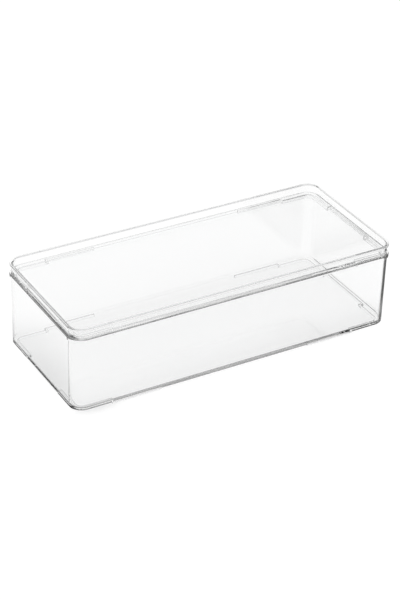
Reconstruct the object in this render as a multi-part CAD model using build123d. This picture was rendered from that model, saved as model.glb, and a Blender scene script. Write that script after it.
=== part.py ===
"""Clear rectangular storage box with a lift-off lid.

Lengths are in millimetres. X runs along the long side, Y across it and Z is up.
The origin is the middle of the footprint, at the level that the feet stand on.
"""

import os

from build123d import *

# Rim, whose outer face is the outline of the whole
rim_length = 305.0
rim_width = 130.0
rim_corner_radius = 13.0
rim_height = 3.0
rim_overhang = 1.2
rim_upper_round = 0.8
rim_lower_round = 0.5

# Box
box_height = 68.2
wall = 2.0
floor = 2.4
base_edge_round = 1.4
floor_corner_round = 1.6

# Lid, a shallow tray whose plate rests on the rim
lid_height = 9.5
lid_plate = 2.2
lid_wall = 1.5
lid_setback = 1.8
lid_base_round = 0.4
recess_floor_round = 0.6
lip_setback = 0.4
lip_height = 1.7
lip_outer_round = 0.8
lip_inner_round = 1.35

# Locating ribs, which hang under the lid and are repeated as feet under the floor
rib_thickness = 1.5
rib_reach = 3.1
rib_lead_in = 0.4
foot_height = 2.6
fit_clearance = 0.4
corner_setback = 2.8
tab_start = 71.0
tab_end = 116.0
end_tab_half = 29.5

# Shared by all cuts, outlines and rounds
overrun = 1.0
least_radius = 0.8
round_limit_share = 0.95

# Levels and sizes that follow from the values above
wall_length = rim_length - 2 * rim_overhang
wall_width = rim_width - 2 * rim_overhang
wall_corner_radius = rim_corner_radius - rim_overhang
floor_underside = foot_height
floor_top = floor_underside + floor
rim_top = floor_underside + box_height
rim_underside = rim_top - rim_height
lid_top = rim_top + lid_height
plate_top = rim_top + lid_plate
lip_underside = lid_top - lip_height
rib_foot = rim_top - rib_reach
rib_face = wall + fit_clearance
lid_inset = lid_setback - rim_overhang
lip_inset = lip_setback - rim_overhang
lip_half_width = (lid_inset + lid_wall - lip_inset) / 2


def level(height):
    """Plane across the box at a height."""
    return Plane.XY.offset(height)


def outline(inset, at):
    """Rounded rectangle at a level, a distance inside the wall's outer face."""
    length = wall_length - 2 * inset
    width = wall_width - 2 * inset
    radius = max(wall_corner_radius - inset, least_radius)
    return level(at) * RectangleRounded(length, width, radius)


def limited(radius, room):
    """Round that leaves a little of the wall or face that it is cut into."""
    return min(radius, round_limit_share * room)


def band(inset, thickness, at):
    """Ring of a thickness that follows the outline."""
    return outline(inset, at) - outline(inset + thickness, at)


def strip(x_low, x_high, y_low, y_high, at):
    """Plain rectangle at a level, from its limits."""
    middle = Pos((x_low + x_high) / 2, (y_low + y_high) / 2)
    return level(at) * middle * Rectangle(x_high - x_low, y_high - y_low)


def end_zones(side, at):
    """Where one end's rib hugs the wall, where it stands back, and its jogs."""
    half_width = wall_width / 2
    half_length = wall_length / 2
    half_rib = rib_thickness / 2

    def across(x_low, x_high, y_low, y_high):
        x_limits = sorted((side * x_low, side * x_high))
        return strip(x_limits[0], x_limits[1], y_low, y_high, at)

    hugging = across(tab_end - half_rib, half_length, -end_tab_half, end_tab_half)
    hugging += across(tab_start, tab_end, -half_width, half_width)
    standing_back = across(tab_end, half_length, end_tab_half, half_width)
    standing_back += across(tab_end, half_length, -half_width, -end_tab_half)
    jogs = across(tab_end - half_rib, tab_end + half_rib, end_tab_half, half_width)
    jogs += across(tab_end - half_rib, tab_end + half_rib, -half_width, -end_tab_half)
    for centre in (-end_tab_half, end_tab_half):
        jogs += across(tab_end, half_length, centre - half_rib, centre + half_rib)
    return hugging, standing_back, jogs


def stepped_rib(side, at):
    """Plan of the rib round one end: against the wall at its tabs, set back at corners."""
    hugging, standing_back, jogs = end_zones(side, at)
    near = band(rib_face, rib_thickness, at) & hugging
    far = band(rib_face + corner_setback, rib_thickness, at) & standing_back
    steps = band(rib_face, corner_setback + rib_thickness, at) & jogs
    return near + far + steps


def ribs(bottom, top):
    """Both ends' ribs between two levels, with a lead-in round their lower edges."""
    made = []
    for side in (-1, 1):
        rib = extrude(stepped_rib(side, bottom), top - bottom)
        lower = rib.edges().group_by(Axis.Z)[0]
        made.append(chamfer(lower, rib_lead_in))
    return made[0] + made[1]


def box_body():
    """Open tray with a rim round its mouth and feet under its floor."""
    tray = extrude(outline(0, floor_underside), box_height)
    tray = fillet(tray.edges().group_by(Axis.Z)[0], base_edge_round)
    rim = extrude(outline(-rim_overhang, rim_underside), rim_height)
    rim = fillet(rim.edges().group_by(Axis.Z)[-1], rim_upper_round)
    rim = fillet(rim.edges().group_by(Axis.Z)[0], rim_lower_round)
    hollow = extrude(outline(wall, floor_top), rim_top - floor_top + overrun)
    hollow = fillet(hollow.edges().group_by(Axis.Z)[0], floor_corner_round)
    feet = ribs(0, floor_underside + floor / 2)
    return tray + rim - hollow + feet


def lid_shell():
    """Plate and side wall, with a lip turned outwards round the top."""
    tray = extrude(outline(lid_inset, rim_top), lid_height)
    tray = fillet(tray.edges().group_by(Axis.Z)[0], lid_base_round)
    lip = extrude(outline(lip_inset, lip_underside), lip_height)
    outer_round = limited(lip_outer_round, min(lip_height, lip_half_width))
    lip = fillet(lip.edges().group_by(Axis.Z)[-1], outer_round)
    recess = extrude(outline(lid_inset + lid_wall, plate_top), lid_top - plate_top + overrun)
    recess = fillet(recess.edges().group_by(Axis.Z)[0], recess_floor_round)
    return tray + lip - recess


def lid():
    """Shallow tray that sits on the rim, with ribs that locate in the mouth."""
    shell = lid_shell()
    lip_top = shell.faces().sort_by(Axis.Z)[-1]
    shell = fillet(lip_top.inner_wires()[0].edges(), limited(lip_inner_round, lip_half_width))
    return shell + ribs(rib_foot, rim_top + lid_plate / 2)


def write(shape, name):
    """One file for one piece."""
    shape.label = name
    export_step(shape, f"parts/{name}.step")


os.makedirs("parts", exist_ok=True)
write(box_body(), "box_body")
write(lid(), "lid")
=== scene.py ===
import math

import bpy
from mathutils import Matrix, Vector


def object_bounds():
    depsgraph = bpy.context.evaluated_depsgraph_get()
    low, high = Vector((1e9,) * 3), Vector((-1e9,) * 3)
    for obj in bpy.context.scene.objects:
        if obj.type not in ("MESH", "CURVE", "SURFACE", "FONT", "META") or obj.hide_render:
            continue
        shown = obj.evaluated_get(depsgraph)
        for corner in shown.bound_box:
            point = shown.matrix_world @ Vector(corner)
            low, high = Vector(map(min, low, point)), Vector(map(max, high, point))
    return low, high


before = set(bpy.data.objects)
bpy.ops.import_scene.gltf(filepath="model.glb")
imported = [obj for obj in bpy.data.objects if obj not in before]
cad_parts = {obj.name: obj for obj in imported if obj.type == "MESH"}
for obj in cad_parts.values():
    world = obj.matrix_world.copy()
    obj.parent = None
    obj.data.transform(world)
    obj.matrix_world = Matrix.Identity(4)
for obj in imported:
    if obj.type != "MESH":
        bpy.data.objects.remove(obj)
cad_low, cad_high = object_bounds()

# Lengths are in metres and angles in radians, unless a name says otherwise.

# Camera, fitted to the photograph's lid, rim and base lines
FRAME_HEIGHT_PX = 600
SENSOR_MM = 36.0
FOCAL_PX = 1873.7
CAMERA_AZIMUTH = -0.5347
CAMERA_ELEVATION = 0.5672
CAMERA_ROLL = 0.032
CAMERA_DISTANCE = 1.6148
CAMERA_TARGET_Z = 0.005
CENTRE_SHIFT_X_PX = -0.42
CENTRE_SHIFT_Y_PX = 27.34
CLIP_NEAR = 0.05
CLIP_FAR = 50.0

# Light. Straight paths through the plastic see white. Paths with a reflection in them see a
# softer room, darker to the right, with shade painted into the floor's glow to the right and
# close round the box.
STRAIGHT_LIGHT = 0.92
STRAIGHT_WORLD_LIGHT = 1.0
ROOM_LIGHT = 0.85
RIGHT_LIGHT = 0.02
FLOOR_RIGHT = (0.15, 0.20)
FLOOR_FRONT = (-0.09, -0.06)
WORLD_RIGHT = (0.65, 0.90)
NEAR_LEFT_LIGHT = 0.3
NEAR_RIGHT_LIGHT = 0.05
NEAR_REACH = 0.05
NEAR_REACH_INSIDE = 0.012
BACK_SHARE = 0.5
# Painted soft shadow on the floor by the front left corner
SHADOW_CENTRE = (-0.128, -0.060)
SHADOW_RADIUS = (0.030, 0.012)
SHADOW_DEPTH = 0.15
BOUNCES = 96

# Floor
FLOOR_LEVEL = -0.0001
FLOOR_HALF = 3.0
FLOOR_BASE = (0.15, 0.15, 0.15, 1.0)
FLOOR_ROUGHNESS = 1.0
FLOOR_SPECULAR = 0.0
WHITE = (1.0, 1.0, 1.0, 1.0)

# Plastic
PLASTIC_IOR = 1.49
ABSORPTION_COLOUR = (0.0, 0.0, 0.0, 1.0)
BOX_TINT = ((0.984, 0.986, 0.986, 1.0), (0.996, 0.998, 0.998, 1.0))
BOX_DENSITY = 4.0
LID_TINT = ((0.970, 0.972, 0.972, 1.0), (0.982, 0.984, 0.984, 1.0))
LID_DENSITY = 1.2
CLOUD_SCALE = 14.0
GRAIN_SCALE = 60.0
NOISE_DETAIL = 2.0
HAZE_LIMITS = (0.45, 0.75)
HAZE = (0.0, 0.012)
WAVE_STRENGTH = 0.25
WAVE_HEIGHT = 0.0006

# Where the lid's plate rests on the rim, and the air between them
SEAT_LEVEL = 0.0708
SEAT_GAP = 0.00005


def add_camera():
    """Camera at the photograph's place, with its small roll."""
    cos_e = math.cos(CAMERA_ELEVATION)
    sin_e = math.sin(CAMERA_ELEVATION)
    back = Vector((math.sin(CAMERA_AZIMUTH) * cos_e, -math.cos(CAMERA_AZIMUTH) * cos_e, sin_e))
    right = Vector((0, 0, 1)).cross(back).normalized()
    up = back.cross(right)
    turned_right = right * math.cos(CAMERA_ROLL) + up * math.sin(CAMERA_ROLL)
    turned_up = up * math.cos(CAMERA_ROLL) - right * math.sin(CAMERA_ROLL)
    data = bpy.data.cameras.new("camera")
    data.sensor_width = SENSOR_MM
    data.lens = FOCAL_PX * SENSOR_MM / FRAME_HEIGHT_PX
    data.shift_x = -CENTRE_SHIFT_X_PX / FRAME_HEIGHT_PX
    data.shift_y = CENTRE_SHIFT_Y_PX / FRAME_HEIGHT_PX
    data.clip_start = CLIP_NEAR
    data.clip_end = CLIP_FAR
    camera = bpy.data.objects.new("camera", data)
    turn = Matrix((turned_right, turned_up, back)).transposed().to_4x4()
    place = Vector((0, 0, CAMERA_TARGET_Z)) + back * CAMERA_DISTANCE
    camera.matrix_world = Matrix.Translation(place) @ turn
    bpy.context.scene.collection.objects.link(camera)
    bpy.context.scene.camera = camera


def give(tree, value, socket):
    """Sets a socket to a number, or links it to an output."""
    if isinstance(value, (int, float)):
        socket.default_value = value
    else:
        tree.links.new(value, socket)


def calculated(tree, operation, *values):
    """Output of one arithmetic node, whose inputs are numbers or other outputs."""
    node = tree.nodes.new("ShaderNodeMath")
    node.operation = operation
    for socket, value in zip(node.inputs, values):
        give(tree, value, socket)
    return node.outputs["Value"]


def distance(tree, across, along):
    """Length of a flat vector."""
    squares = [calculated(tree, "MULTIPLY", side, side) for side in (across, along)]
    return calculated(tree, "SQRT", calculated(tree, "ADD", *squares))


def eased(tree, value, limits, ends):
    """Soft change from one end to the other as the value crosses its limits."""
    node = tree.nodes.new("ShaderNodeMapRange")
    node.interpolation_type = "SMOOTHSTEP"
    node.inputs["From Min"].default_value, node.inputs["From Max"].default_value = limits
    node.inputs["To Min"].default_value, node.inputs["To Max"].default_value = ends
    tree.links.new(value, node.inputs["Value"])
    return node.outputs["Result"]


def coordinates(tree, output):
    """X, Y and Z of a place or a direction."""
    place = tree.nodes.new("ShaderNodeTexCoord")
    split = tree.nodes.new("ShaderNodeSeparateXYZ")
    tree.links.new(place.outputs[output], split.inputs["Vector"])
    return split.outputs["X"], split.outputs["Y"], split.outputs["Z"]


def by_path(tree, straight, reflected):
    """One light for straight paths, another for paths with a reflection in them."""
    path = tree.nodes.new("ShaderNodeLightPath")
    choose = tree.nodes.new("ShaderNodeMix")
    tree.links.new(path.outputs["Glossy Depth"], choose.inputs["Factor"])
    give(tree, straight, choose.inputs["A"])
    give(tree, reflected, choose.inputs["B"])
    return choose.outputs["Result"]


def closeness(tree, x, y):
    """Mask for the painted shade round the box: 1 at the box's outline, fading over a short
    reach outside it and a shorter one inside.
    """
    sideways = calculated(tree, "SUBTRACT", calculated(tree, "ABSOLUTE", x), cad_high[0])
    behind = calculated(tree, "SUBTRACT", y, cad_high[1])
    ahead = calculated(tree, "SUBTRACT", cad_low[1], y)
    beyond = [sideways, calculated(tree, "MAXIMUM", behind, ahead)]
    outside = distance(tree, *[calculated(tree, "MAXIMUM", side, 0.0) for side in beyond])
    inside = calculated(tree, "MAXIMUM", *beyond)
    return calculated(
        tree,
        "MINIMUM",
        eased(tree, outside, (0.0, NEAR_REACH), (1.0, 0.0)),
        eased(tree, inside, (-NEAR_REACH_INSIDE, 0.0), (0.0, 1.0)),
    )


def floor_straight(tree, x, y):
    """White, with a faint soft shadow by the front left corner."""
    offsets = []
    for place, centre, radius in zip((x, y), SHADOW_CENTRE, SHADOW_RADIUS):
        offset = calculated(tree, "SUBTRACT", place, centre)
        offsets.append(calculated(tree, "DIVIDE", offset, radius))
    ends = (STRAIGHT_LIGHT * (1 - SHADOW_DEPTH), STRAIGHT_LIGHT)
    return eased(tree, distance(tree, *offsets), (0.0, 1.0), ends)


def floor_reflected(tree, x, y):
    """The room's light as reflected paths see it, with shade painted in: darker close round the
    box and to the right.
    """
    ends = (ROOM_LIGHT - NEAR_LEFT_LIGHT, ROOM_LIGHT - NEAR_RIGHT_LIGHT)
    loss = eased(tree, x, (cad_low[0], cad_high[0]), ends)
    share = eased(tree, y, (0.0, cad_high[1]), (1.0, BACK_SHARE))
    loss = calculated(tree, "MULTIPLY", loss, share)
    loss = calculated(tree, "MULTIPLY", loss, closeness(tree, x, y))
    near = calculated(tree, "SUBTRACT", ROOM_LIGHT, loss)
    right = eased(tree, x, FLOOR_RIGHT, (0.0, 1.0))
    right = calculated(tree, "MULTIPLY", right, eased(tree, y, FLOOR_FRONT, (0.0, 1.0)))
    shade = eased(tree, right, (0.0, 1.0), (1.0, RIGHT_LIGHT))
    return calculated(tree, "MULTIPLY", near, shade)


def floor_material():
    """Matt white, which gives its own light: even, apart from a painted soft shadow and, in
    reflections, painted shade.
    """
    material = bpy.data.materials.new("floor_white_painted_shade")
    material.use_nodes = True
    tree = material.node_tree
    shader = tree.nodes["Principled BSDF"]
    shader.inputs["Base Color"].default_value = FLOOR_BASE
    shader.inputs["Roughness"].default_value = FLOOR_ROUGHNESS
    shader.inputs["Specular IOR Level"].default_value = FLOOR_SPECULAR
    shader.inputs["Emission Color"].default_value = WHITE
    x, y, _ = coordinates(tree, "Object")
    light = by_path(tree, floor_straight(tree, x, y), floor_reflected(tree, x, y))
    tree.links.new(light, shader.inputs["Emission Strength"])
    return material


def add_floor():
    """White floor with a painted shadow and painted shade, which isn't part of the object."""
    corners = [(-1, -1), (1, -1), (1, 1), (-1, 1)]
    places = [(x * FLOOR_HALF, y * FLOOR_HALF, FLOOR_LEVEL) for x, y in corners]
    mesh = bpy.data.meshes.new("floor")
    mesh.from_pydata(places, [], [(0, 1, 2, 3)])
    mesh.materials.append(floor_material())
    floor = bpy.data.objects.new("floor", mesh)
    bpy.context.scene.collection.objects.link(floor)


def add_world():
    """Soft even surround, darker to the right in reflections."""
    world = bpy.data.worlds.new("studio")
    world.use_nodes = True
    tree = world.node_tree
    background = tree.nodes["Background"]
    background.inputs["Color"].default_value = WHITE
    x, _, _ = coordinates(tree, "Generated")
    reflected = eased(tree, x, WORLD_RIGHT, (ROOM_LIGHT, RIGHT_LIGHT))
    light = by_path(tree, STRAIGHT_WORLD_LIGHT, reflected)
    tree.links.new(light, background.inputs["Strength"])
    bpy.context.scene.world = world


def noise(tree, place, scale, seed):
    """Smooth solid noise in the moulding's own coordinates."""
    node = tree.nodes.new("ShaderNodeTexNoise")
    node.noise_dimensions = "4D"
    node.inputs["W"].default_value = seed
    node.inputs["Scale"].default_value = scale
    node.inputs["Detail"].default_value = NOISE_DETAIL
    tree.links.new(place.outputs["Object"], node.inputs["Vector"])
    return node.outputs["Fac"]


def clear_plastic(name, seed, tints, density):
    """Polished clear plastic, with the faint waviness of a moulding and slight haze."""
    material = bpy.data.materials.new(name)
    material.use_nodes = True
    tree = material.node_tree
    shader = tree.nodes["Principled BSDF"]
    shader.inputs["IOR"].default_value = PLASTIC_IOR
    shader.inputs["Transmission Weight"].default_value = 1.0
    place = tree.nodes.new("ShaderNodeTexCoord")
    cloud = noise(tree, place, CLOUD_SCALE, seed)
    grain = noise(tree, place, GRAIN_SCALE, seed)
    tint = tree.nodes.new("ShaderNodeValToRGB")
    for element, colour in zip(tint.color_ramp.elements, tints):
        element.color = colour
    tree.links.new(cloud, tint.inputs["Fac"])
    tree.links.new(tint.outputs["Color"], shader.inputs["Base Color"])
    tree.links.new(eased(tree, grain, HAZE_LIMITS, HAZE), shader.inputs["Roughness"])
    wave = tree.nodes.new("ShaderNodeBump")
    wave.inputs["Strength"].default_value = WAVE_STRENGTH
    wave.inputs["Distance"].default_value = WAVE_HEIGHT
    tree.links.new(cloud, wave.inputs["Height"])
    tree.links.new(wave.outputs["Normal"], shader.inputs["Normal"])
    bulk = tree.nodes.new("ShaderNodeVolumeAbsorption")
    bulk.inputs["Color"].default_value = ABSORPTION_COLOUR
    bulk.inputs["Density"].default_value = density
    tree.links.new(bulk.outputs["Volume"], tree.nodes["Material Output"].inputs["Volume"])
    return material


def open_seat(piece):
    """Shows a hair's breadth of air between the lid's plate and the rim.

    Light has to meet both surfaces, and misses one where they fall together. A modifier lifts
    the plate's underside. The CAD mesh stays as it is.
    """
    tree = bpy.data.node_groups.new("seat_gap", "GeometryNodeTree")
    for way in ("INPUT", "OUTPUT"):
        tree.interface.new_socket("Geometry", in_out=way, socket_type="NodeSocketGeometry")
    start = tree.nodes.new("NodeGroupInput")
    end = tree.nodes.new("NodeGroupOutput")
    place = tree.nodes.new("GeometryNodeInputPosition")
    split = tree.nodes.new("ShaderNodeSeparateXYZ")
    join = tree.nodes.new("ShaderNodeCombineXYZ")
    move = tree.nodes.new("GeometryNodeSetPosition")
    tree.links.new(place.outputs["Position"], split.inputs["Vector"])
    for axis in "XY":
        tree.links.new(split.outputs[axis], join.inputs[axis])
    height = split.outputs["Z"]
    lifted = calculated(tree, "MAXIMUM", height, SEAT_LEVEL + SEAT_GAP)
    seated = calculated(tree, "GREATER_THAN", height, SEAT_LEVEL - SEAT_GAP)
    tree.links.new(lifted, join.inputs["Z"])
    tree.links.new(seated, move.inputs["Selection"])
    tree.links.new(join.outputs["Vector"], move.inputs["Position"])
    tree.links.new(start.outputs["Geometry"], move.inputs["Geometry"])
    tree.links.new(move.outputs["Geometry"], end.inputs["Geometry"])
    piece.modifiers.new("seat_gap", "NODES").node_group = tree


def dress():
    """Each moulding gets its plastic."""
    looks = {
        "box_body": ("clear_box", 0.0, BOX_TINT, BOX_DENSITY),
        "lid": ("clear_lid", 1.0, LID_TINT, LID_DENSITY),
    }
    for node, look in looks.items():
        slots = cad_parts[node].data.materials
        slots.clear()
        slots.append(clear_plastic(*look))
    open_seat(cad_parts["lid"])


add_camera()
add_world()
add_floor()
dress()
bpy.context.scene.view_settings.view_transform = "Standard"
for kind in ("max_bounces", "glossy_bounces", "transmission_bounces"):
    setattr(bpy.context.scene.cycles, kind, BOUNCES)
